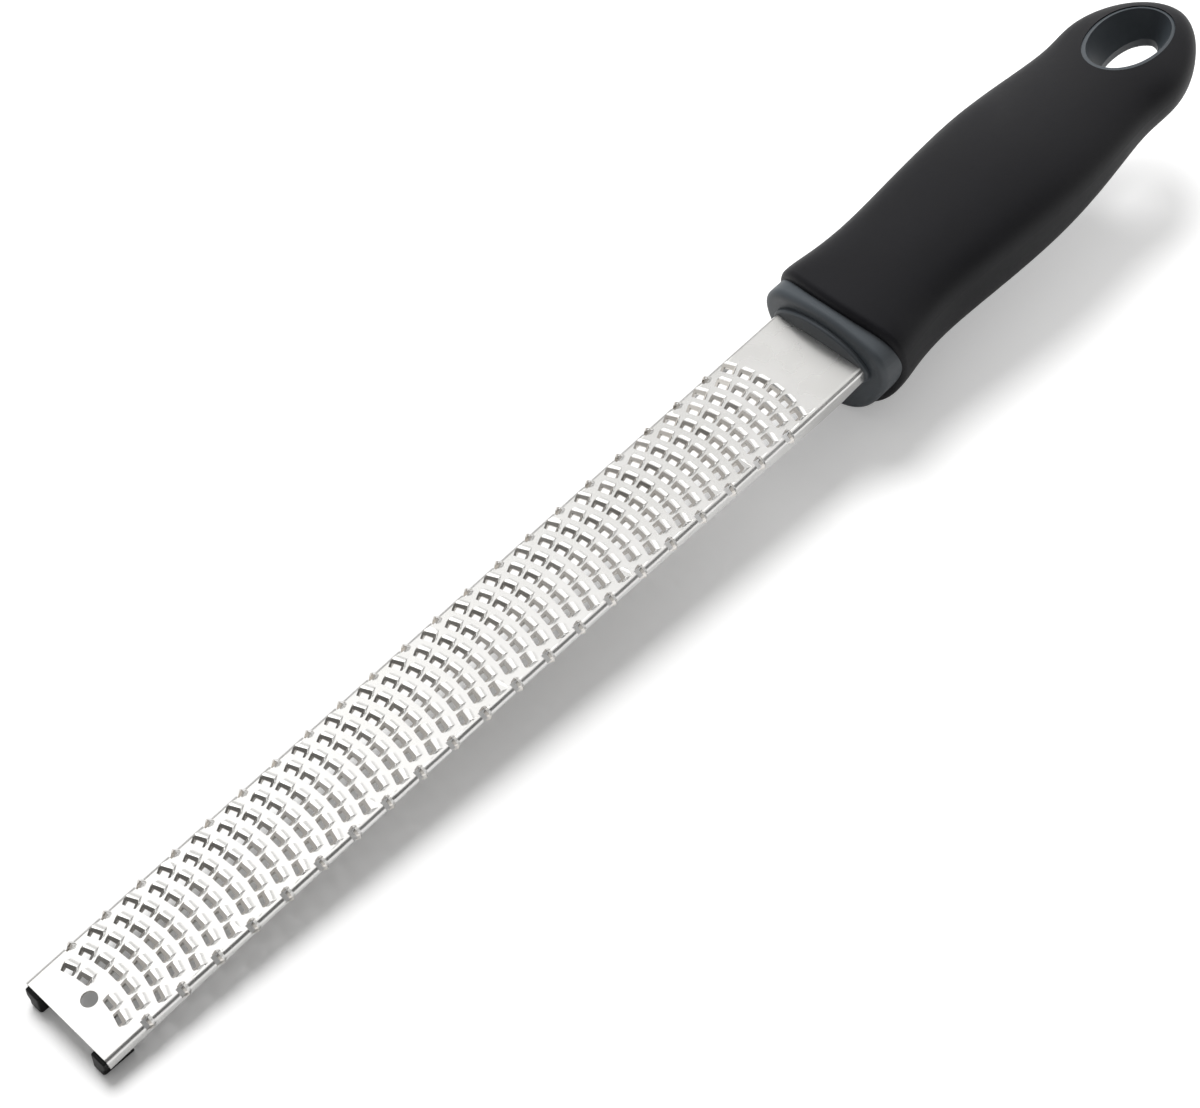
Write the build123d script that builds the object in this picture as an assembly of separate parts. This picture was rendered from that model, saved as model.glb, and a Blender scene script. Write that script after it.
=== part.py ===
from build123d import *
from math import asin, atan2, cos, degrees, pi, radians, sin
import os

# Rasp zester: a bent steel rasp blade, a hard handle core, a soft grip and two rubber feet.
# All sizes are in millimetres. While a piece is made, Y is 0 at the blade's tip and grows
# towards the handle, X is 0 on the middle line, and Z is 0 on the blade's flat top.

# Blade, bent from stainless sheet
sheet = 0.5
blade_half_width = 12.5         # middle to the outside of a flange
bend_radius = 1.2               # outside of the bend between top and flange
bend_flats = 3                  # flats that stand for a bend, within 0.05 of round
blade_exposed = 206.8           # tip to the front of the handle's plug
flange_depths = [               # share of the exposed length, lower edge below the flat top
    (0.0, 3.1),
    (0.19, 2.0),
    (0.41, 1.6),
    (0.68, 2.2),
    (0.955, 4.2),
    (1.0, 3.3),
]
tip_hole_radius = 1.75
tip_hole_from_tip = 5.95
seat_depth = 12.0               # how far the channel goes into the plug
tang_width = 15.0
tang_length = 34.0              # beyond the seated channel
tang_corner = 3.0
tang_hole_radius = 2.6
tang_hole_gap = 16.0            # between the two holes that lock the tang

# Rasp teeth, on rows that bow towards the handle and are staggered
row_pitch = 4.35
first_row_from_tip = 8.95
bare_before_plug = 15.0
tooth_pitch = 3.93
row_bow_radius = 29.6
mouth_width = 2.5
mouth_length = 1.55
rim_width = 0.5                 # raised rim at a mouth's sides
rim_back = 0.65                 # raised rim at a mouth's back
tooth_height = 1.15
tooth_run = 1.35                # slope behind the rim, back down to the sheet
side_tooth_leg = 0.5            # the outermost teeth reach this far past the bends they stand on

# Hard core in front of the grip: plug round the blade and collar
plug_half_width = 13.3
plug_top = 4.6
plug_bottom = -8.6
plug_edge = 0.5
plug_proud = 1.1                # plug ahead of the collar
collar_length = 2.9             # collar ahead of the grip, on the middle line
collar_half_width = 16.6
collar_top = 7.5
collar_widest_level = 1.0
collar_bottom = -21.0
collar_fullness = 1.95
collar_edge = 1.6
blade_clearance = 0.05

# Handle outline: distance behind the grip's front, half width, top, widest level, bottom,
# and fullness of the section, where 2 is an ellipse and more is squarer
handle_stations = [
    (0.0, 17.0, 9.6, 0.5, -21.6, 2.15),
    (9.5, 16.6, 10.1, 0.8, -20.7, 2.15),
    (19.5, 15.6, 10.5, 1.2, -19.9, 2.15),
    (31.5, 16.1, 10.8, 1.5, -19.7, 2.15),
    (44.5, 17.0, 11.1, 1.4, -19.6, 2.15),
    (57.5, 17.5, 10.9, 1.3, -18.6, 2.15),
    (69.5, 16.9, 10.1, 1.0, -16.3, 2.15),
    (79.5, 15.8, 9.4, 0.8, -13.5, 2.2),
    (87.5, 15.3, 9.0, 0.8, -11.1, 2.3),
    (95.5, 15.6, 8.6, 1.0, -9.4, 2.4),
]
tail_length = 19.8              # last station to the handle's end
tail_steps = 4
tail_plan_power = 1.6           # 2 would be an ellipse in plan, less is more pointed
tail_plan_root = 1.7
tail_thickness_root = 2.0       # more keeps the tail thick to its very end
section_points = 12
grip_thickness = 2.0
grip_front_bow = 60.0           # plan radius of the grip's front edge
grip_front_edge = 1.6           # rounding of that edge, less than the grip's thickness

# Hollow of the core, round which its wall stays
core_wall = 1.8
hollow_stops = (0.6, 1.0)       # shares of the way from the tang's end to the eye
hollow_behind_seat = 2.0
tang_cover = 1.8                # plastic under the tang
hollow_to_eye = 1.8             # wall between the hollow and the eye's rim

# Oval hanging hole through the handle's end
eye_from_grip_front = 97.6      # centre of the hole
eye_rim_half_width = 8.5        # on top
eye_rim_half_length = 12.4
eye_foot_half_width = 10.0      # underneath, where the hole is wider
eye_foot_half_length = 13.6
eye_rim_wall = 0.6
eye_rim_recess = 0.3            # rim below the soft surface
eye_waist_half_width = 4.55
eye_waist_half_length = 8.9
eye_waist_length = 2.0
eye_waist_level = -1.2          # middle of the waist
eye_top_slope = 8.0             # the rims follow the tail, which gets thinner
eye_bottom_slope = 11.0

# Rubber feet inside the flanges at the tip
foot_width = 3.9
foot_step = 0.8                 # its lower part stands this much further in than the flange
foot_nose = 1.5                 # ahead of the tip
foot_nose_slope = 0.9           # the nose's top stands this much further back
foot_toe = 0.9                  # slant between nose and sole
foot_length = 5.9               # behind the tip
foot_sole_depth = 6.2           # sole below the blade's flat top, at the foot's middle

collar_front = blade_exposed + plug_proud
grip_front = collar_front + collar_length
handle_length = handle_stations[-1][0] + tail_length
eye_y = grip_front + eye_from_grip_front
row_count = 1 + int((blade_exposed - first_row_from_tip - bare_before_plug) / row_pitch)
tall = 2 * (handle_stations[0][2] - handle_stations[0][4])

# The tool rests on its two feet and a small flat at the lower front of its grip
rest_flat = 0.5                 # depth of that flat, which keeps the handle from rolling
rest_rise = -handle_stations[0][4] - rest_flat - foot_sole_depth
rest_angle = degrees(atan2(rest_rise, grip_front - (foot_length - foot_nose) / 2))


def ring_points(half_width, top, level, bottom, fullness):
    """Points round an egg-like section: widest at a level, fuller than an ellipse."""
    points = []
    for step in range(section_points):
        angle = 2 * pi * step / section_points
        across = abs(cos(angle)) ** (2 / fullness) * (1 if cos(angle) > 0 else -1)
        up = abs(sin(angle)) ** (2 / fullness) * (1 if sin(angle) > 0 else -1)
        height = top - level if up > 0 else level - bottom
        points.append((half_width * across, level + height * up))
    return points


def superellipse(half_width, top, level, bottom, fullness):
    """Egg-like section in the XZ plane with a smooth outline."""
    with BuildSketch(Plane.XZ) as outline:
        with BuildLine():
            Spline(*ring_points(half_width, top, level, bottom, fullness), periodic=True)
        make_face()
    return outline.sketch


def station_at(distance, inset):
    """Half width, top, widest level, bottom and fullness at a distance, by straight lines."""
    low, high = handle_stations[:2]
    for near, far in zip(handle_stations, handle_stations[1:]):
        if near[0] <= distance:
            low, high = near, far
    share = (distance - low[0]) / (high[0] - low[0])
    half, top, level, bottom, fullness = [a + (b - a) * share for a, b in zip(low[1:], high[1:])]
    return half - inset, top - inset, level, bottom + inset, fullness


def handle_form(inset, start):
    """Handle outline drawn in by an inset, from a start behind the grip's front to the tail."""
    distances = [start] + [station[0] for station in handle_stations if station[0] > start]
    sections = [(distance,) + station_at(distance, inset) for distance in distances]
    last, half, top, level, bottom, fullness = sections[-1]
    for step in range(1, tail_steps + 1):
        left = (1 - step / (tail_steps + 0.15)) ** 2
        plan = (1 - (1 - left) ** tail_plan_power) ** (1 / tail_plan_root)
        depth = (1 - (1 - left) ** 2) ** (1 / tail_thickness_root)
        sections.append((last + (tail_length - inset) * (1 - left), half * plan,
                         level + (top - level) * depth, level, level + (bottom - level) * depth, fullness))
    return loft([Pos(0, grip_front + section[0], 0) * superellipse(*section[1:]) for section in sections])


def bend_path(side, half, radius, level, raised):
    """Corners of one bend's flats in the XZ plane, from the flat top down to the flange."""
    turns = [radians(90 * step / bend_flats) for step in range(bend_flats + 1)]
    reach = radius + raised
    return [(side * (half - radius + reach * sin(turn)), level - radius + reach * cos(turn)) for turn in turns]


def arch_section(half, depth, radius, level):
    """Area under a flat-topped arch whose top lies at a level: two upright sides and two bends."""
    right, left = bend_path(1, half, radius, level, 0), bend_path(-1, half, radius, level, 0)
    with BuildSketch(Plane.XZ) as area:
        with BuildLine():
            Polyline((-half, -depth), *reversed(left), *right, (half, -depth), close=True)
        make_face()
    return area.sketch


def along_y(area, start, length):
    """Solid of an area in the XZ plane, from a distance along the tool towards the handle."""
    return extrude(Pos(0, start, 0) * area, amount=length, dir=(0, 1, 0))


def flange_waste(gap):
    """Waste under both flanges: their lower edge bows, deepest near the handle."""
    lowest = 2 * max(depth for share, depth in flange_depths)
    end = blade_exposed + seat_depth + 2 * sheet
    edge = [(share * blade_exposed, -depth - gap) for share, depth in flange_depths]
    with BuildSketch(Plane.YZ) as side:
        with BuildLine():
            Spline(*edge)
            Polyline(edge[-1], (end, edge[-1][1]), (end, -lowest), (-sheet, -lowest), (-sheet, edge[0][1]), edge[0])
        make_face()
    return extrude(side.sketch, amount=blade_half_width + 2 * sheet, both=True)


def channel(start, length, gap):
    """Bent channel of the blade, thickened all round by a gap to cut its own seat."""
    depth = max(depth for share, depth in flange_depths) + 2 * sheet
    outer = along_y(arch_section(blade_half_width + gap, depth, bend_radius + gap, gap), start, length)
    inset = sheet + gap
    inner = arch_section(blade_half_width - inset, depth + sheet, bend_radius - inset, -inset)
    return outer - along_y(inner, start - sheet, length + 2 * sheet) - flange_waste(gap)


def tang(gap):
    """Flat tongue that the core is moulded round, with two locking holes."""
    middle = blade_exposed + seat_depth + tang_length / 2
    with BuildSketch(Plane.XY.offset(gap)) as outline:
        with Locations((0, middle - sheet / 2)):
            Rectangle(tang_width + 2 * gap, tang_length + sheet + 2 * gap)
        fillet(outline.vertices().group_by(Axis.Y)[-1], radius=tang_corner)
        for side in (-1, 1):
            with Locations((0, middle + side * tang_hole_gap / 2)):
                Circle(tang_hole_radius - gap, mode=Mode.SUBTRACT)
    return extrude(outline.sketch, amount=-sheet - 2 * gap)


def tooth_body():
    """Raised scoop of one tooth: its front slope climbs from the mouth to a crest, then falls."""
    back = rim_back + tooth_run
    with BuildSketch(Plane.YZ) as side:
        with BuildLine():
            Polyline((-mouth_length, -sheet / 2), (-mouth_length, 0), (rim_back, tooth_height),
                     (back, 0), (back, -sheet / 2), close=True)
        make_face()
    return extrude(side.sketch, amount=mouth_width / 2 + rim_width, both=True)


def side_tooth_body(side):
    """Raised arch of an outermost tooth, which follows the bend from the flat top to the flange."""
    sections = []
    for y, height in ((-mouth_length, 0), (rim_back, tooth_height), (rim_back + tooth_run, 0)):
        outer = bend_path(side, blade_half_width, bend_radius, 0, height)
        inner = bend_path(side, blade_half_width, bend_radius, 0, -sheet / 2)
        for path in (outer, inner):
            path.insert(0, (path[0][0] - side * side_tooth_leg, path[0][1]))
            path.append((path[-1][0], path[-1][1] - side_tooth_leg))
        with BuildSketch(Plane.XZ) as outline:
            with BuildLine():
                Polyline(*outer, *reversed(inner), close=True)
            make_face()
        sections.append(Pos(0, y, 0) * outline.sketch)
    return loft(sections, ruled=True)


def tooth_mouth():
    """Opening in front of a tooth's rim, which runs on under the raised slope behind it."""
    lip = tooth_height * mouth_length / (mouth_length + rim_back)
    fall = tooth_height / tooth_run
    below = sheet + bend_radius
    with BuildSketch(Plane.YZ) as side:
        with BuildLine():
            Polyline((-mouth_length, -below), (-mouth_length, tooth_height), (0, tooth_height), (0, lip),
                     ((lip + sheet) / fall, -sheet), ((lip + sheet) / fall, -below), close=True)
        make_face()
    return extrude(side.sketch, amount=mouth_width / 2, both=True)


def tooth_places():
    """Places of the teeth on the flat, square to their bowed rows, and of those on each bend."""
    flat, bent = [], {-1: [], 1: []}
    for row in range(row_count):
        steps = [-3, -2, -1, 0, 1, 2, 3] if row % 2 else [-2.5, -1.5, -0.5, 0.5, 1.5, 2.5]
        if row == 0:
            steps = [-2, -1, 1, 2]
        for step in steps:
            x = step * tooth_pitch
            turn = asin(x / row_bow_radius)
            y = first_row_from_tip + row * row_pitch - row_bow_radius * (1 - cos(turn))
            if abs(step) < 3:
                flat.append(Pos(x, y, 0) * Rot(0, 0, -degrees(turn)))
            else:
                bent[1 if step > 0 else -1].append(Pos(0, y, 0))
    return flat, bent


def make_blade():
    """Rasp blade: channel, tang, raised teeth with their mouths, and the tip's hole."""
    blank = channel(0, blade_exposed + seat_depth, 0) + tang(0)
    flat, bent = tooth_places()
    body, mouth = tooth_body(), tooth_mouth()
    bodies = [place * body for place in flat]
    mouths = [place * mouth for place in flat]
    on_bend = bend_radius * sin(radians(45))
    for side, places in bent.items():
        arch = side_tooth_body(side)
        corner = Pos(side * (blade_half_width - bend_radius + on_bend), 0, on_bend - bend_radius) * Rot(0, side * 45, 0)
        bodies += [place * arch for place in places]
        mouths += [place * corner * mouth for place in places]
    toothed = (blank + bodies) - mouths
    return toothed - Pos(0, tip_hole_from_tip, 0) * Cylinder(tip_hole_radius, 4 * sheet)


def eye_rim(side, narrower):
    """Outline of the hanging hole's rim on top (1) or underneath (-1), drawn in by an amount."""
    if side > 0:
        return Ellipse(eye_rim_half_width - narrower, eye_rim_half_length - narrower)
    return Ellipse(eye_foot_half_width - narrower, eye_foot_half_length - narrower)


def eye_flare(side, rim_level, slope):
    """Flare of the hanging hole from its waist to a rim that slopes with the tail, and on outwards."""
    waist_end = eye_waist_level + side * eye_waist_length / 2
    waist = Pos(0, eye_y, waist_end) * Ellipse(eye_waist_half_width, eye_waist_half_length)
    rim = Pos(0, eye_y, rim_level) * Rot(-side * slope, 0, 0) * eye_rim(side, eye_rim_wall)
    return loft([waist, rim]) + extrude(rim, amount=2 * grip_thickness, dir=(0, 0, side))


def eye_hole():
    """Hanging hole: a straight oval waist that flares towards the top and the bottom."""
    half, top, level, bottom, fullness = station_at(eye_from_grip_front, eye_rim_recess)
    waist = extrude(Pos(0, eye_y, eye_waist_level) * Ellipse(eye_waist_half_width, eye_waist_half_length),
                    amount=eye_waist_length / 2, both=True)
    return waist + eye_flare(1, top, eye_top_slope) + eye_flare(-1, bottom, eye_bottom_slope)


def core_hollow():
    """Hollow of the core: under the tang first, then nearly the whole section up to the eye."""
    seat_end = blade_exposed + seat_depth + hollow_behind_seat - grip_front
    tang_end = blade_exposed + seat_depth + tang_length + tang_cover - grip_front
    eye_start = eye_from_grip_front - eye_foot_half_length - hollow_to_eye
    under_tang = -sheet - tang_cover
    inset = grip_thickness + core_wall
    stops = [(seat_end, under_tang), (tang_end, under_tang), (tang_end + tang_cover, tall)]
    stops += [(share * eye_start + (1 - share) * tang_end, tall) for share in hollow_stops]
    sections = []
    for distance, ceiling in stops:
        half, top, level, bottom, fullness = station_at(distance, inset)
        top = min(top, ceiling)
        level = min(level, (top + bottom) / 2)
        with BuildSketch(Plane.XZ) as outline:
            with BuildLine():
                Polyline(*ring_points(half, top, level, bottom, fullness), close=True)
            make_face()
        sections.append(Pos(0, grip_front + distance, 0) * outline.sketch)
    return loft(sections, ruled=True)


def make_handle():
    """Core and grip: the soft grip is moulded over the core, so their faces meet."""
    spine = handle_form(grip_thickness, grip_thickness)
    collar = along_y(superellipse(collar_half_width, collar_top, collar_widest_level, collar_bottom,
                                  collar_fullness), collar_front, collar_length + 2 * grip_thickness)
    collar = fillet(collar.edges().group_by(Axis.Y)[0], collar_edge)
    plug = Pos(0, blade_exposed, (plug_top + plug_bottom) / 2) * extrude(
        Plane.XZ * Ellipse(plug_half_width, (plug_top - plug_bottom) / 2), amount=2 * grip_thickness, dir=(0, 1, 0))
    plug = fillet(plug.edges().group_by(Axis.Y)[0], plug_edge)
    upper_eye = extrude(Pos(0, eye_y, eye_waist_level) * eye_rim(1, 0), amount=tall, dir=(0, 0, 1))
    lower_eye = extrude(Pos(0, eye_y, eye_waist_level) * eye_rim(-1, 0), amount=tall, dir=(0, 0, -1))
    recessed = handle_form(eye_rim_recess, grip_thickness)
    core = collar + plug + spine + (upper_eye & recessed) + (lower_eye & recessed)
    bow_centre = grip_front + grip_front_bow
    bow = Pos(0, bow_centre, 0) * Cylinder(grip_front_bow, tall)
    bow += Pos(0, bow_centre + tail_length, 0) * Box(2 * grip_front_bow, 2 * grip_front_bow, tall)
    skin = handle_form(0, 0) & bow
    front_rim = skin.edges().filter_by(lambda edge: edge.center().Y < grip_front + 2 * grip_thickness)
    skin = fillet(front_rim, grip_front_edge)
    grip = skin - collar - spine - upper_eye - lower_eye
    seat = channel(blade_exposed - 2 * sheet, seat_depth + 2 * sheet + blade_clearance, blade_clearance)
    core = core - seat - tang(blade_clearance) - eye_hole() - core_hollow()
    return core, grip


def make_foot(side):
    """Rubber foot: it fills the corner inside a flange and reaches down past its lower edge."""
    outer = blade_half_width - sheet
    inner = outer - foot_width
    edge = flange_depths[0][1]
    below = 2 * foot_sole_depth
    with BuildSketch(Plane.XZ) as across:
        with BuildLine():
            Polyline((inner, -bend_radius), (outer, -bend_radius), (outer, -edge), (outer - foot_step, -edge - foot_step),
                     (outer - foot_step, -below), (inner, -below), close=True)
        make_face()
    with BuildSketch(Plane.YZ) as along:
        with BuildLine():
            Polyline((foot_nose_slope - foot_nose, 0), (-foot_nose, foot_toe - foot_sole_depth),
                     (foot_toe - foot_nose, -foot_sole_depth), (foot_toe - foot_nose, -below),
                     (foot_length, -below), (foot_length, 0), close=True)
        make_face()
    foot = along_y(across.sketch, -2 * foot_nose, below) & extrude(along.sketch, amount=2 * outer)
    return foot if side > 0 else mirror(foot, Plane.YZ)


def main():
    """Make every piece, lay the tool down on its feet and grip, and write one file for each."""
    os.makedirs("parts", exist_ok=True)
    core, grip = make_handle()
    lying = Rot(rest_angle, 0, 0)
    table = (lying * grip).bounding_box().min.Z + rest_flat
    pieces = {"rasp_blade": lying * make_blade()}
    resting = {"handle_core": core, "soft_grip": grip, "foot_left": make_foot(-1), "foot_right": make_foot(1)}
    for name, piece in resting.items():
        pieces[name] = split(lying * piece, bisect_by=Plane.XY.offset(table), keep=Keep.TOP)
    back = max(piece.bounding_box().max.Y for piece in pieces.values())
    front = min(piece.bounding_box().min.Y for piece in pieces.values())
    place = Pos(0, -(front + back) / 2, -table)
    print("rest angle", rest_angle, "middle", (front + back) / 2, "table", table, "length", back - front)
    for name, piece in pieces.items():
        export_step(place * piece, f"parts/{name}.step")
        print(name, round(piece.volume, 1))


main()
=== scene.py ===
# %% [markdown]
# A rasp zester lies on a pale table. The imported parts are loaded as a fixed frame, and the pieces that
# need finer forms than the parts have, the toothed blade and the rounded feet, are modelled around it.
# The blade's own sizes are in millimetres from its tip, and it is turned into metres when it is done.

# %% Load the frame and note its size
import bpy
from math import asin, atan2, cos, pi, radians, sin
from mathutils import Matrix, Vector


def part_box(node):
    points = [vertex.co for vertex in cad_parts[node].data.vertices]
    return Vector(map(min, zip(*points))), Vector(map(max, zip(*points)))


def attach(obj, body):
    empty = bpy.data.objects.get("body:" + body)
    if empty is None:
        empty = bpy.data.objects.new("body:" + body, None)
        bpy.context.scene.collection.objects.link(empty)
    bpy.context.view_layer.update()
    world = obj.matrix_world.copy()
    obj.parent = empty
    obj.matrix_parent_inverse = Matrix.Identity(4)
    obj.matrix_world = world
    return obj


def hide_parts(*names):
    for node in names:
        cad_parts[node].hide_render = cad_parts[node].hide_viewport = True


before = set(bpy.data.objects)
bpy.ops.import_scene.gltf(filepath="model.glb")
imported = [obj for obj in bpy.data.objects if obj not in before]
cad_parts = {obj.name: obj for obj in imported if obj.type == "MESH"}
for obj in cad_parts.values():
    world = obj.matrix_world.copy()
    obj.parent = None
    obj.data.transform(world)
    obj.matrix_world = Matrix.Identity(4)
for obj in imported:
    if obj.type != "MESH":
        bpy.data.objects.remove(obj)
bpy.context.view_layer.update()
print("parts:", sorted(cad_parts))

# %% [markdown]
# The tool lies on its feet and on the front of its grip, so its blade rises towards the handle. Pieces
# are modelled as if the blade lay level, with Y running from the tip and Z up from the flat top, and one
# matrix then lays each finished piece down. Its place comes from the blade's box in the frame.

# %% The matrix that lays the tool down
HANDLE_RISE = 14.9
FEET_TO_GRIP = 208.6
REST_ANGLE = atan2(HANDLE_RISE, FEET_TO_GRIP)
TIP_FLANGE = 3.1
MILLIMETRE = 0.001
blade_low, blade_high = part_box("rasp_blade")
FLAT_HEIGHT = blade_low[2] + TIP_FLANGE * MILLIMETRE * cos(REST_ANGLE)
LAY_DOWN = (Matrix.Translation((0, blade_low[1], FLAT_HEIGHT))
            @ Matrix.Rotation(REST_ANGLE, 4, "X") @ Matrix.Scale(MILLIMETRE, 4))
print("blade rises", round(REST_ANGLE * 180 / pi, 2), "degrees")


def only(piece):
    """Leaves one piece selected and active, in object mode."""
    bpy.ops.object.select_all(action="DESELECT")
    piece.select_set(True)
    bpy.context.view_layer.objects.active = piece


def lay(piece, name):
    """Names a finished piece and puts its place into its mesh."""
    piece.name = name
    piece.data.name = name
    piece.data.transform(piece.matrix_world)
    piece.matrix_world = Matrix.Identity(4)
    piece.data.transform(LAY_DOWN)
    return piece


# %% [markdown]
# The camera looks down at the tool from beyond its right side, with a long lens, which keeps the far
# handle nearly as large as the near tip. Its place and directions are given in the tool's own frame, so
# it turns with the tool when the rest angle changes.

# %% Camera
CAMERA_PLACE = Vector((278.0, -46.27, 449.03))
CAMERA_RIGHT = Vector((0.70024, 0.69981, -0.14114))
CAMERA_UP = Vector((-0.51619, 0.63289, 0.57706))
CAMERA_BACK = Vector((0.49316, -0.33122, 0.80442))
camera_turn = Matrix((CAMERA_RIGHT, CAMERA_UP, CAMERA_BACK)).transposed().to_4x4()
lens = bpy.data.cameras.new("camera")
lens.sensor_width = 36.0
lens.lens = 83.39
lens.clip_start = 0.01
camera = bpy.data.objects.new("camera", lens)
bpy.context.collection.objects.link(camera)
rest_turn = Matrix.Rotation(REST_ANGLE, 4, "X")
camera.matrix_world = Matrix.Translation(LAY_DOWN @ CAMERA_PLACE) @ rest_turn @ camera_turn
bpy.context.scene.camera = camera
bpy.context.scene.view_settings.view_transform = "Standard"

# %% [markdown]
# The steel is a mirror of the studio round it, so the studio is painted into the world by direction. An
# overhead box whitens the blade's flat top and dims towards the handle, a far light whitens the bulges
# behind the teeth, and two weaker cards grey the rims of the teeth. What is left is a dark room, which
# the left teeth's rims and the bends show. Matt surfaces only get a soft sky from above.

# %% Small helpers for nodes
def add_node(tree, kind, **values):
    """Adds a node and sets its properties and its numbered or named inputs."""
    node = tree.nodes.new(kind)
    for key, value in values.items():
        if key in node.inputs:
            node.inputs[key].default_value = value
        else:
            setattr(node, key, value)
    return node


def maths(tree, operation, first, second):
    """Adds a Math node and wires or sets its two inputs."""
    node = tree.nodes.new("ShaderNodeMath")
    node.operation = operation
    for slot, value in enumerate((first, second)):
        if isinstance(value, (int, float)):
            node.inputs[slot].default_value = value
        else:
            tree.links.new(value, node.inputs[slot])
    return node.outputs[0]


def ramp(tree, factor, stops):
    """Adds a colour ramp through stops of place and grey or colour."""
    node = tree.nodes.new("ShaderNodeValToRGB")
    points = node.color_ramp.elements
    while len(points) < len(stops):
        points.new(0.5)
    for point, (place, colour) in zip(points, stops):
        point.position = place
        rgb = colour if isinstance(colour, tuple) else (colour, colour, colour)
        point.color = (*rgb, 1.0)
    tree.links.new(factor, node.inputs["Fac"])
    return node.outputs["Color"]


def between(tree, value, low, high, new_low=0.0, new_high=1.0):
    """Maps a value softly from one range to another."""
    node = tree.nodes.new("ShaderNodeMapRange")
    node.interpolation_type = "SMOOTHSTEP"
    for title, number in (("From Min", low), ("From Max", high), ("To Min", new_low), ("To Max", new_high)):
        node.inputs[title].default_value = number
    tree.links.new(value, node.inputs["Value"])
    return node.outputs["Result"]


# %% World: white to the camera, a soft sky to matt surfaces, and a studio to shiny ones
OVERHEAD = Vector((-0.20, 0.35, 0.92)).normalized()
OVERHEAD_EDGE = (0.68, 0.80)
OVERHEAD_DIMS = (0.05, 0.44)
OVERHEAD_LEVELS = (1.60, 0.68)
FAR_BEGINS = (0.48, 0.58)
FAR_FADES = (0.70, 0.82)
FAR_LEVEL = 2.2
FAR_SHARE_LEFT = 0.36
TABLE_EDGE = (0.02, 0.20)
SIDE_BEGINS = (-0.355, -0.415)
SIDE_LEVEL = 0.50
FRONT_BEGINS = (-0.35, -0.50)
FRONT_RIGHT_OF = (0.15, 0.40)
FRONT_LEVEL = 0.60
DARK_ROOM = 0.13
SKY_EDGE = (-0.1, 0.9)
SKY_LEVELS = (0.06, 0.58)
world = bpy.data.worlds.new("studio")
bpy.context.scene.world = world
world.use_nodes = True
tree = world.node_tree
tree.nodes.clear()
direction = tree.nodes.new("ShaderNodeTexCoord").outputs["Generated"]
axes = tree.nodes.new("ShaderNodeSeparateXYZ")
tree.links.new(direction, axes.inputs[0])
towards = tree.nodes.new("ShaderNodeVectorMath")
towards.operation = "DOT_PRODUCT"
towards.inputs[1].default_value = OVERHEAD
tree.links.new(direction, towards.inputs[0])

overhead_edge = between(tree, towards.outputs["Value"], *OVERHEAD_EDGE)
overhead_level = between(tree, axes.outputs["Y"], *OVERHEAD_DIMS, *OVERHEAD_LEVELS)
overhead_box = maths(tree, "MULTIPLY", overhead_edge, overhead_level)
far_start = between(tree, axes.outputs["Y"], *FAR_BEGINS, 0.0, FAR_LEVEL)
far_fade = between(tree, axes.outputs["Y"], *FAR_FADES, 1.0, FAR_SHARE_LEFT)
above_table = between(tree, axes.outputs["Z"], *TABLE_EDGE)
far_box = maths(tree, "MULTIPLY", maths(tree, "MULTIPLY", far_start, far_fade), above_table)
side_card = between(tree, axes.outputs["X"], *SIDE_BEGINS, 0.0, SIDE_LEVEL)
front_right = between(tree, axes.outputs["X"], *FRONT_RIGHT_OF, 0.0, FRONT_LEVEL)
front_card = maths(tree, "MULTIPLY", front_right, between(tree, axes.outputs["Y"], *FRONT_BEGINS))
studio = overhead_box
for light in (side_card, far_box, front_card, DARK_ROOM):
    studio = maths(tree, "MAXIMUM", studio, light)
sky = between(tree, towards.outputs["Value"], *SKY_EDGE, *SKY_LEVELS)

rays = tree.nodes.new("ShaderNodeLightPath")
level = tree.nodes.new("ShaderNodeMix")
tree.links.new(sky, level.inputs["A"])
tree.links.new(rays.outputs["Is Glossy Ray"], level.inputs["Factor"])
tree.links.new(studio, level.inputs["B"])
lit = tree.nodes.new("ShaderNodeBackground")
lit.inputs["Color"].default_value = (1.0, 0.995, 0.985, 1)
tree.links.new(level.outputs["Result"], lit.inputs["Strength"])
seen = tree.nodes.new("ShaderNodeBackground")
seen.inputs["Color"].default_value = (1, 1, 1, 1)
choice = tree.nodes.new("ShaderNodeMixShader")
tree.links.new(rays.outputs["Is Camera Ray"], choice.inputs["Fac"])
tree.links.new(lit.outputs[0], choice.inputs[1])
tree.links.new(seen.outputs[0], choice.inputs[2])
tree.links.new(choice.outputs[0], tree.nodes.new("ShaderNodeOutputWorld").inputs["Surface"])

# %% Key light: a wide soft sun from the left, which the painted studio stands for in reflections
KEY_FROM = Vector((-0.46, 0.30, 0.84))
key = bpy.data.lights.new("key", "SUN")
key.energy = 3.1
key.angle = radians(32)
key_lamp = bpy.data.objects.new("key", key)
bpy.context.collection.objects.link(key_lamp)
key_lamp.rotation_euler = KEY_FROM.to_track_quat("Z", "Y").to_euler()
key_lamp.visible_glossy = False

# %% Floor: a wide pale table that keeps the tool's shadow, with painted light that grows towards the handle and pales the shadow there
LIFT_AND_PAINTED_LIGHT_LEVELS = (0.07, 0.42)
PAINTED_LIGHT_SPAN = (-0.06, 0.12)
MIRRORED_SHARE = 0.3
bpy.ops.object.select_all(action="DESELECT")
bpy.ops.mesh.primitive_plane_add(size=8, location=(0, 0, 0))
floor = bpy.context.object
floor.name = "floor"
paint = bpy.data.materials.new("pale_table")
paint.use_nodes = True
tree = paint.node_tree
tree.nodes.clear()
matt = add_node(tree, "ShaderNodeBsdfDiffuse")
matt.inputs["Color"].default_value = (0.80, 0.80, 0.80, 1)
glow = add_node(tree, "ShaderNodeEmission", Strength=1.0)
rays = tree.nodes.new("ShaderNodeLightPath")
mirrored = maths(tree, "MAXIMUM", rays.outputs["Is Glossy Ray"], rays.outputs["Is Transmission Ray"])
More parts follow.
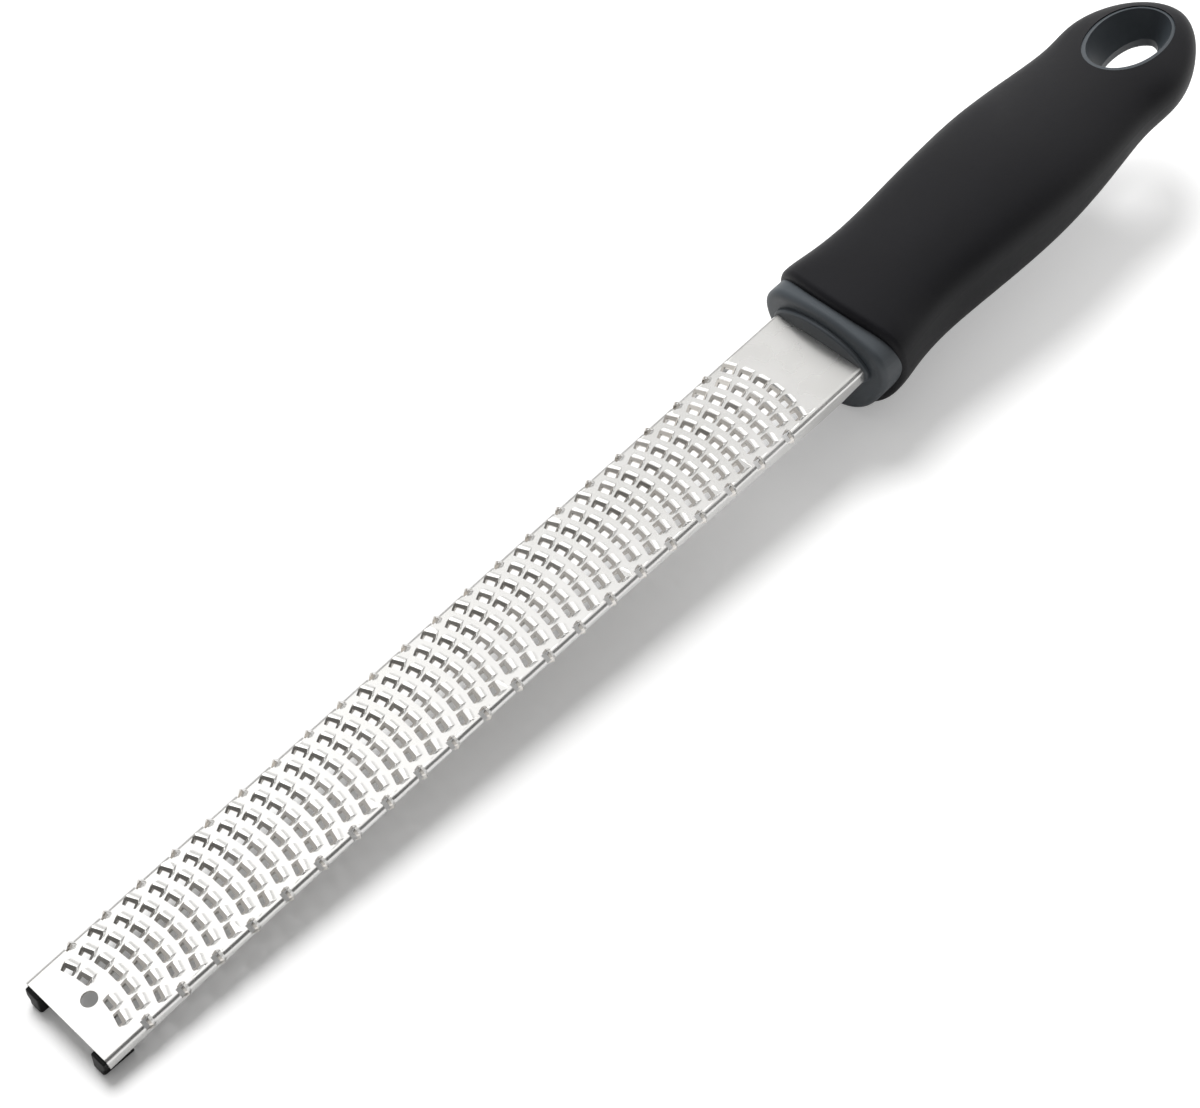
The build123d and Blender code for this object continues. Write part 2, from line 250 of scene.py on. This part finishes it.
mirrored = maths(tree, "MULTIPLY", mirrored, MIRRORED_SHARE)
shown = maths(tree, "MAXIMUM", rays.outputs["Is Camera Ray"], mirrored)
along = tree.nodes.new("ShaderNodeSeparateXYZ")
tree.links.new(tree.nodes.new("ShaderNodeTexCoord").outputs["Object"], along.inputs[0])
# Painted light: the floor's glow grows from the tip towards the handle, so the tool's shadow pales there
painted_light_along = between(tree, along.outputs["Y"], *PAINTED_LIGHT_SPAN, *LIFT_AND_PAINTED_LIGHT_LEVELS)
lift = maths(tree, "MULTIPLY", shown, painted_light_along)
tree.links.new(lift, glow.inputs["Strength"])
both = tree.nodes.new("ShaderNodeAddShader")
tree.links.new(matt.outputs[0], both.inputs[0])
tree.links.new(glow.outputs[0], both.inputs[1])
tree.links.new(both.outputs[0], tree.nodes.new("ShaderNodeOutputMaterial").inputs["Surface"])
floor.data.materials.append(paint)


# %% [markdown]
# Two effects come back in several finishes, so each is a node group: the fine grain of a moulding tool
# and the brush lines along rolled steel. Each also gives a soft mask over larger patches.

# %% Node groups
def new_group(name, inputs, outputs):
    """Starts a shader node group with named float inputs and outputs."""
    group = bpy.data.node_groups.new(name, "ShaderNodeTree")
    for title, value in inputs:
        group.interface.new_socket(title, in_out="INPUT", socket_type="NodeSocketFloat").default_value = value
    for title, kind in outputs:
        group.interface.new_socket(title, in_out="OUTPUT", socket_type=kind)
    return group, group.nodes.new("NodeGroupInput"), group.nodes.new("NodeGroupOutput")


def grain_group():
    """Fine pits and bumps of a moulded surface, as a height and as a roughness mask."""
    group, given, result = new_group("moulded_grain", [("Scale", 2500.0), ("Patches", 90.0)],
                                     [("Height", "NodeSocketFloat"), ("Mask", "NodeSocketFloat")])
    place = group.nodes.new("ShaderNodeTexCoord").outputs["Object"]
    fine = add_node(group, "ShaderNodeTexNoise", Detail=3.0, Roughness=0.6)
    group.links.new(place, fine.inputs["Vector"])
    group.links.new(given.outputs["Scale"], fine.inputs["Scale"])
    wide = add_node(group, "ShaderNodeTexNoise", Detail=2.0)
    group.links.new(place, wide.inputs["Vector"])
    group.links.new(given.outputs["Patches"], wide.inputs["Scale"])
    group.links.new(fine.outputs["Fac"], result.inputs["Height"])
    group.links.new(wide.outputs["Fac"], result.inputs["Mask"])
    return group


def brush_group():
    """Fine lines along the tool, as rolled and brushed sheet has, with faint cloudiness."""
    group, given, result = new_group("brushed_lines", [("Across", 9000.0), ("Along", 120.0)],
                                     [("Height", "NodeSocketFloat"), ("Mask", "NodeSocketFloat")])
    place = group.nodes.new("ShaderNodeTexCoord").outputs["Object"]
    stretch = add_node(group, "ShaderNodeCombineXYZ")
    group.links.new(given.outputs["Across"], stretch.inputs["X"])
    group.links.new(given.outputs["Along"], stretch.inputs["Y"])
    group.links.new(given.outputs["Across"], stretch.inputs["Z"])
    scaled = group.nodes.new("ShaderNodeVectorMath")
    scaled.operation = "MULTIPLY"
    group.links.new(place, scaled.inputs[0])
    group.links.new(stretch.outputs[0], scaled.inputs[1])
    lines = add_node(group, "ShaderNodeTexNoise", Scale=1.0, Detail=2.0)
    group.links.new(scaled.outputs[0], lines.inputs["Vector"])
    cloud = add_node(group, "ShaderNodeTexNoise", Scale=70.0, Detail=3.0)
    group.links.new(place, cloud.inputs["Vector"])
    group.links.new(lines.outputs["Fac"], result.inputs["Height"])
    group.links.new(cloud.outputs["Fac"], result.inputs["Mask"])
    return group


GRAIN = grain_group()
BRUSH = brush_group()


def finish(name, colours, roughness, effect, settings, bump, metallic=0.0):
    """Material whose colour and roughness drift with an effect's mask and whose bump is its height."""
    material = bpy.data.materials.new(name)
    material.use_nodes = True
    tree = material.node_tree
    shader = tree.nodes["Principled BSDF"]
    shader.inputs["Metallic"].default_value = metallic
    group = tree.nodes.new("ShaderNodeGroup")
    group.node_tree = effect
    for title, value in settings.items():
        group.inputs[title].default_value = value
    low, high = colours
    tone = ramp(tree, group.outputs["Mask"], [(0.3, low), (0.7, high)])
    tree.links.new(tone, shader.inputs["Base Color"])
    rough = add_node(tree, "ShaderNodeMapRange")
    rough.inputs["From Min"].default_value = 0.3
    rough.inputs["From Max"].default_value = 0.7
    rough.inputs["To Min"].default_value, rough.inputs["To Max"].default_value = roughness
    tree.links.new(group.outputs["Mask"], rough.inputs["Value"])
    tree.links.new(rough.outputs["Result"], shader.inputs["Roughness"])
    relief = add_node(tree, "ShaderNodeBump", Strength=bump, Distance=0.00004)
    tree.links.new(group.outputs["Height"], relief.inputs["Height"])
    tree.links.new(relief.outputs["Normal"], shader.inputs["Normal"])
    return material


# %% [markdown]
# Five finishes cover the tool: satin steel for the sheet, smoother metal for the etched rims of the teeth,
# slate plastic for the hard core, and black rubber, grained on the grip and plain on the feet. The rims are
# painted darker and warmer than the sheet, a painted reflection of the dark brownish room they mirror.
# Both rubbers are duller than the shader's standard, as soft-touch ones are.

# %% Finishes
STEEL = finish("blade_steel", [(0.76, 0.755, 0.74), (0.80, 0.795, 0.785)], (0.24, 0.30), BRUSH, {}, 0.12, 1.0)
# Painted reflection: the rims' steel is darker and warmer than the sheet's, for the dark brownish room they
# mirror
RIM_STEEL_PAINTED_DARK = finish("etched_rim_painted_reflection", [(0.70, 0.665, 0.62), (0.76, 0.735, 0.70)], (0.14, 0.20), BRUSH,
                   {"Along": 2000.0}, 0.05, 1.0)
SLATE = finish("core_plastic", [(0.048, 0.057, 0.066), (0.055, 0.064, 0.073)], (0.42, 0.50), GRAIN,
               {"Scale": 3000.0}, 0.15)
RUBBER = finish("grip_rubber", [(0.0060, 0.0060, 0.0075), (0.0080, 0.0080, 0.0098)], (0.44, 0.52), GRAIN,
                {"Scale": 2600.0}, 0.35)
FOOT = finish("foot_rubber", [(0.004, 0.004, 0.004), (0.006, 0.006, 0.006)], (0.45, 0.55), GRAIN,
              {"Scale": 2200.0}, 0.2)
for rubber, shine in ((RUBBER, 0.17), (FOOT, 0.20)):
    rubber.node_tree.nodes["Principled BSDF"].inputs["Specular IOR Level"].default_value = shine


def dress(piece, material):
    """Gives all of a piece one material."""
    piece.data.materials.clear()
    piece.data.materials.append(material)


PART_FINISHES = {"handle_core": SLATE, "soft_grip": RUBBER, "foot_left": FOOT, "foot_right": FOOT}
for name, material in PART_FINISHES.items():
    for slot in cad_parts[name].material_slots:
        slot.material = material

# %% [markdown]
# The feet are moulded in soft rubber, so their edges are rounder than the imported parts'. Each starts as a
# copy of its part, whose edges are then rounded within its box.

# %% Rounded feet
FOOT_ROUNDING = 0.0007
WELD_DISTANCE = 0.00001
for name in ("foot_left", "foot_right"):
    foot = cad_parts[name].copy()
    foot.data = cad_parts[name].data.copy()
    bpy.context.collection.objects.link(foot)
    foot.parent = None
    foot.matrix_world = Matrix.Identity(4)
    foot.name = "round_" + name
    only(foot)
    bpy.ops.object.mode_set(mode="EDIT")
    bpy.ops.mesh.select_all(action="SELECT")
    bpy.ops.mesh.remove_doubles(threshold=WELD_DISTANCE)
    bpy.ops.mesh.dissolve_limited(angle_limit=radians(2))
    bpy.ops.object.mode_set(mode="OBJECT")
    rounding = foot.modifiers.new("rounding", "BEVEL")
    rounding.width = FOOT_ROUNDING
    rounding.segments = 4
    rounding.limit_method = "ANGLE"
    rounding.angle_limit = radians(35)
    bpy.ops.object.modifier_apply(modifier="rounding")
    bpy.ops.object.shade_smooth_by_angle(angle=radians(40))
    dress(foot, FOOT)
    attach(foot, "root")
    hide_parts(name)

# %% [markdown]
# The blade is a strip of sheet bent down at both long sides. A plane is the strip's flat top, its long
# edges are spun round the bends and pulled down as flanges, and Solidify gives it the sheet's thickness.
# The flanges' lower edges bow: they are shallow in the middle and deeper towards both ends.

# %% Blade blank
HALF_WIDTH = 12.5
BEND = 1.2
FLAT_HALF = HALF_WIDTH - BEND
BEND_STEPS = 8
SHEET = 0.5
STRIP_LENGTH = 218.8
SLICES = 44
FIRST_DROP = 1.5
SHALLOWEST = 1.5
DEEPEST = 4.15
BOW_MIDDLE = 85.3
BOW_RATE = 0.00021
TAPER_START = 197.5
TAPER_RATE = 0.09
TAPER_END = 3.3


def flange_depth(y):
    """How far a flange's lower edge lies below the flat top, at a distance from the tip."""
    if y > TAPER_START:
        return max(TAPER_END, DEEPEST - TAPER_RATE * (y - TAPER_START))
    return min(SHALLOWEST + BOW_RATE * (y - BOW_MIDDLE) ** 2, DEEPEST)


def make_blank():
    """Bent strip with both flanges, as a closed solid."""
    bpy.ops.mesh.primitive_plane_add(size=1, location=(0, 0, 0))
    blank = bpy.context.object
    blank.data.transform(Matrix.Translation((0, STRIP_LENGTH / 2, 0))
                         @ Matrix.Diagonal((2 * FLAT_HALF, STRIP_LENGTH, 1, 1)))
    bpy.ops.object.mode_set(mode="EDIT")
    bpy.ops.mesh.select_all(action="DESELECT")
    bpy.ops.object.mode_set(mode="OBJECT")
    for side in (-1, 1):
        for vertex in blank.data.vertices:
            vertex.select = abs(vertex.co.x - side * FLAT_HALF) < 0.01
        for edge in blank.data.edges:
            edge.select = all(blank.data.vertices[end].select for end in edge.vertices)
        bpy.ops.object.mode_set(mode="EDIT")
        bpy.ops.mesh.spin(steps=BEND_STEPS, angle=-side * pi / 2, center=(side * FLAT_HALF, 0, -BEND),
                          axis=(0, 1, 0))
        bpy.ops.mesh.extrude_region_move(TRANSFORM_OT_translate={"value": (0, 0, -FIRST_DROP)})
        bpy.ops.mesh.select_all(action="DESELECT")
        bpy.ops.object.mode_set(mode="OBJECT")
    bpy.ops.object.mode_set(mode="EDIT")
    for step in range(1, SLICES):
        bpy.ops.mesh.select_all(action="SELECT")
        bpy.ops.mesh.bisect(plane_co=(0, step * STRIP_LENGTH / SLICES, 0), plane_no=(0, 1, 0))
    bpy.ops.mesh.select_all(action="SELECT")
    bpy.ops.mesh.remove_doubles(threshold=0.001)
    bpy.ops.mesh.normals_make_consistent(inside=False)
    bpy.ops.object.mode_set(mode="OBJECT")
    for vertex in blank.data.vertices:
        if vertex.co.z < -BEND - 0.1:
            vertex.co.z = min(-flange_depth(vertex.co.y), -BEND - 0.05)
    only(blank)
    thick = blank.modifiers.new("thickness", "SOLIDIFY")
    thick.thickness = SHEET
    thick.offset = -1
    thick.use_even_offset = True
    bpy.ops.object.modifier_apply(modifier="thickness")
    return blank


bpy.ops.object.select_all(action="DESELECT")
blade = make_blank()
print("blank:", len(blade.data.polygons), "faces, size", [round(v, 2) for v in blade.dimensions])

# %% [markdown]
# Each tooth is a little awning pressed up from the sheet, open towards the tip. Its rim is what one sees:
# a band round three sides of a square mouth. One awning and one mouth are modelled, copied to every
# place, added to the sheet and cut from it. The rows bow towards the handle and are staggered.

# %% Places of the teeth
ROW_PITCH = 4.35
FIRST_ROW = 8.95
ROWS = 43
TOOTH_PITCH = 3.93
ROW_BOW = 29.6
TOOTH_WIDTH = 3.1
TOOTH_FRONT = -1.5
TOOTH_RUN = 1.8
POCKET_RUN = 0.75
TOOTH_RISE = 0.8
RIM_LEG = 0.5
RIM_BACK = 0.6
CORNER = 0.42
TAIL_SHARE = 0.72
ROOT_DEPTH = 0.25
SIDE_FRONT = -1.0
SIDE_RISE = 0.55
SIDE_RUN = 0.7


def tooth_places():
    """Matrices of the teeth on the flat, and distances from the tip of those on each bend."""
    flat, bends = [], []
    for row in range(ROWS):
        steps = [-3, -2, -1, 0, 1, 2, 3] if row % 2 else [-2.5, -1.5, -0.5, 0.5, 1.5, 2.5]
        if row == 0:
            steps = [-2, -1, 1, 2]
        for step in steps:
            x = step * TOOTH_PITCH
            turn = asin(x / ROW_BOW)
            y = FIRST_ROW + row * ROW_PITCH - ROW_BOW * (1 - cos(turn))
            if abs(step) < 3:
                flat.append(Matrix.Translation((x, y, 0)) @ Matrix.Rotation(-turn, 4, "Z"))
            elif step > 0:
                bends.append(y)
    return flat, bends


flat_places, bend_places = tooth_places()
print(len(flat_places), "teeth on the flat,", 2 * len(bend_places), "on the bends")


# %% One awning, one mouth
def face_towards(piece, axis, sign):
    """Selects the faces whose normals point along an axis, in object mode."""
    for polygon in piece.data.polygons:
        polygon.select = sign * polygon.normal[axis] > 0.9
    for edge in piece.data.edges:
        edge.select = False


def box_piece(low, high):
    """Box from corner to corner, made from a cube."""
    bpy.ops.object.select_all(action="DESELECT")
    bpy.ops.mesh.primitive_cube_add(size=1, location=(0, 0, 0))
    piece = bpy.context.object
    middle = (Vector(low) + Vector(high)) / 2
    extent = Vector(high) - Vector(low)
    piece.data.transform(Matrix.Translation(middle) @ Matrix.Diagonal((*extent, 1)))
    return piece


def pull(piece, axis, sign, move):
    """Extrudes the faces that point one way by a move."""
    only(piece)
    bpy.ops.object.mode_set(mode="EDIT")
    bpy.ops.mesh.select_mode(type="FACE")
    bpy.ops.mesh.select_all(action="DESELECT")
    bpy.ops.object.mode_set(mode="OBJECT")
    face_towards(piece, axis, sign)
    bpy.ops.object.mode_set(mode="EDIT")
    bpy.ops.mesh.extrude_region_move(TRANSFORM_OT_translate={"value": move})
    bpy.ops.object.mode_set(mode="OBJECT")


def make_awning():
    """Raised wedge of one tooth, with rounded corners at its crest."""
    half = TOOTH_WIDTH / 2
    awning = box_piece((-half, TOOTH_FRONT, -ROOT_DEPTH), (half, 0, TOOTH_RISE))
    pull(awning, 1, 1, (0, TOOTH_RUN, 0))
    for vertex in awning.data.vertices:
        y, z = vertex.co.y, vertex.co.z
        if z > 0 and y < TOOTH_FRONT + 0.1:
            vertex.co.z = 0.01
        if y > 0.1:
            vertex.co.x *= TAIL_SHARE
            if z > 0:
                vertex.co.z = -0.04
    only(awning)
    bpy.ops.object.mode_set(mode="EDIT")
    bpy.ops.mesh.select_mode(type="EDGE")
    bpy.ops.mesh.select_all(action="DESELECT")
    bpy.ops.object.mode_set(mode="OBJECT")
    for edge in awning.data.edges:
        first, second = [awning.data.vertices[end].co for end in edge.vertices]
        upright = abs(first.x - second.x) < 0.01 and abs(first.z - second.z) > 0.5
        edge.select = upright and abs(first.y) < 0.01
    bpy.ops.object.mode_set(mode="EDIT")
    bpy.ops.mesh.bevel(offset=CORNER, segments=3, affect="EDGES")
    bpy.ops.object.mode_set(mode="OBJECT")
    return awning


def make_mouth():
    """Cutter for one mouth: a square shaft with a pocket that runs on under the awning."""
    half = TOOTH_WIDTH / 2 - RIM_LEG
    back = -RIM_BACK
    mouth = box_piece((-half, TOOTH_FRONT - 0.02, -1.6), (half, back, 0.08))
    pull(mouth, 1, 1, (0, RIM_BACK, 0))
    pull(mouth, 1, 1, (0, POCKET_RUN, 0))
    for vertex in mouth.data.vertices:
        if vertex.co.z > 0 and abs(vertex.co.y) < 0.01:
            vertex.co.z = 0.30
        elif vertex.co.z > 0 and vertex.co.y > 0.1:
            vertex.co.z = -0.40
    only(mouth)
    bpy.ops.object.mode_set(mode="EDIT")
    bpy.ops.mesh.select_mode(type="FACE")
    bpy.ops.mesh.select_all(action="DESELECT")
    bpy.ops.object.mode_set(mode="OBJECT")
    for polygon in mouth.data.polygons:
        polygon.select = polygon.normal.z > 0.9 and polygon.center.y < back
    bpy.ops.object.mode_set(mode="EDIT")
    bpy.ops.mesh.extrude_region_move(TRANSFORM_OT_translate={"value": (0, 0, 1.6)})
    bpy.ops.object.mode_set(mode="OBJECT")
    return mouth


def spread(pattern, places, name):
    """Copies a pattern to every place, each with its own mesh, and joins the copies."""
    copies = []
    for place in places:
        copy = pattern.copy()
        copy.data = pattern.data.copy()
        copy.data.transform(place)
        bpy.context.collection.objects.link(copy)
        copies.append(copy)
    bpy.ops.object.select_all(action="DESELECT")
    for copy in copies:
        copy.select_set(True)
    bpy.context.view_layer.objects.active = copies[0]
    bpy.ops.object.join()
    bpy.data.objects.remove(pattern)
    copies[0].name = name
    return copies[0]


def combine(piece, other, operation):
    """Adds another piece to a piece, or cuts it away, and removes the other."""
    only(piece)
    step = piece.modifiers.new(operation, "BOOLEAN")
    step.operation = operation
    step.object = other
    step.solver = "MANIFOLD"
    step.material_mode = "INDEX"
    bpy.ops.object.modifier_apply(modifier=operation)
    bpy.data.objects.remove(other)


# %% Awnings and mouths over the whole blade
def paint_faces(piece, index):
    """Gives a piece the blade's three finishes and sets all faces to one of them."""
    piece.data.materials.clear()
    for material in (STEEL, RIM_STEEL_PAINTED_DARK, RIM_STEEL_PAINTED_DARK):
        piece.data.materials.append(material)
    for polygon in piece.data.polygons:
        polygon.material_index = index


awning = make_awning()
paint_faces(awning, 0)
for polygon in awning.data.polygons:
    if polygon.normal.z > 0.7 and polygon.center.y < 0:
        polygon.material_index = 1
mouth = make_mouth()
paint_faces(mouth, 2)
paint_faces(blade, 0)


def make_side_awning(side):
    """Awning on a bend: the same wedge run from the flat, round the bend and onto the flange."""
    start = 0.5
    piece = box_piece((0, SIDE_FRONT, -ROOT_DEPTH), (start, 0, SIDE_RISE))
    pull(piece, 1, 1, (0, SIDE_RUN, 0))
    for vertex in piece.data.vertices:
        if vertex.co.z > 0 and abs(vertex.co.y) > 0.1:
            vertex.co.z = 0.01
    piece.data.transform(Matrix.Translation((FLAT_HALF - start, 0, 0)))
    only(piece)
    bpy.ops.object.mode_set(mode="EDIT")
    bpy.ops.mesh.select_mode(type="FACE")
    bpy.ops.mesh.select_all(action="DESELECT")
    bpy.ops.object.mode_set(mode="OBJECT")
    face_towards(piece, 0, 1)
    bpy.ops.object.mode_set(mode="EDIT")
    bpy.ops.mesh.spin(steps=BEND_STEPS, angle=-pi / 2, center=(FLAT_HALF, 0, -BEND), axis=(0, 1, 0))
    bpy.ops.mesh.extrude_region_move(TRANSFORM_OT_translate={"value": (0, 0, -0.5)})
    bpy.ops.mesh.select_all(action="SELECT")
    bpy.ops.mesh.remove_doubles(threshold=0.001)
    bpy.ops.mesh.normals_make_consistent(inside=False)
    bpy.ops.object.mode_set(mode="OBJECT")
    if side < 0:
        piece.data.transform(Matrix.Scale(-1, 4, (1, 0, 0)))
        piece.data.flip_normals()
    return piece


def make_side_mouth(side):
    """Cutter for a mouth on a bend, turned half way round it."""
    piece = make_mouth()
    rise = BEND * sin(pi / 4)
    piece.data.transform(Matrix.Translation((side * (FLAT_HALF + rise), 0, rise - BEND))
                         @ Matrix.Rotation(side * pi / 4, 4, "Y"))
    return piece


awnings = [spread(awning, flat_places, "awnings")]
mouths = [spread(mouth, flat_places, "mouths")]
for side in (-1, 1):
    places = [Matrix.Translation((0, y, 0)) for y in bend_places]
    awning, mouth = make_side_awning(side), make_side_mouth(side)
    paint_faces(awning, 0)
    for polygon in awning.data.polygons:
        if polygon.normal.y < -0.3 and polygon.center.y > SIDE_FRONT + 0.1:
            polygon.material_index = 1
    paint_faces(mouth, 2)
    awnings.append(spread(awning, places, "side_awnings"))
    mouths.append(spread(mouth, places, "side_mouths"))
for piece in awnings:
    combine(blade, piece, "UNION")
for piece in mouths:
    combine(blade, piece, "DIFFERENCE")
print("toothed blade:", len(blade.data.polygons), "faces")

# %% Hole near the tip
TIP_HOLE_RADIUS = 1.75
TIP_HOLE_PLACE = 5.95
bpy.ops.object.select_all(action="DESELECT")
bpy.ops.mesh.primitive_cylinder_add(vertices=48, radius=TIP_HOLE_RADIUS, depth=4,
                                    location=(0, TIP_HOLE_PLACE, 0))
hole = bpy.context.object
hole.data.transform(hole.matrix_world)
hole.matrix_world = Matrix.Identity(4)
paint_faces(hole, 2)
combine(blade, hole, "DIFFERENCE")

# %% [markdown]
# The rims stay crisp and flat, while the bulges behind them flow into the sheet, as pressed metal does.
# Normals weighted by area keep the wide flat faces even where many small ones meet them.

# %% Crisp rims and soft bulges
CRISP_ANGLE = radians(25)
UPPER_SKIN = -0.06


def soften_bulges(piece):
    """Keeps rims and sheet edges crisp, and shades the pressed bulges as part of the sheet's face."""
    only(piece)
    bpy.ops.object.shade_smooth_by_angle(angle=CRISP_ANGLE)
    beside = {}
    for polygon in piece.data.polygons:
        polygon.use_smooth = polygon.material_index == 0
        for key in polygon.edge_keys:
            beside.setdefault(key, []).append(polygon)
    for edge in piece.data.edges:
        plain = all(polygon.material_index == 0 for polygon in beside[edge.key])
        on_top = all(piece.data.vertices[end].co.z > UPPER_SKIN for end in edge.vertices)
        if plain and on_top:
            edge.use_edge_sharp = False
    weighted = piece.modifiers.new("weighted", "WEIGHTED_NORMAL")
    weighted.keep_sharp = True
    weighted.weight = 80
    bpy.ops.object.modifier_apply(modifier="weighted")


soften_bulges(blade)
lay(blade, "toothed_blade")
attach(blade, "root")
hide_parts("rasp_blade")
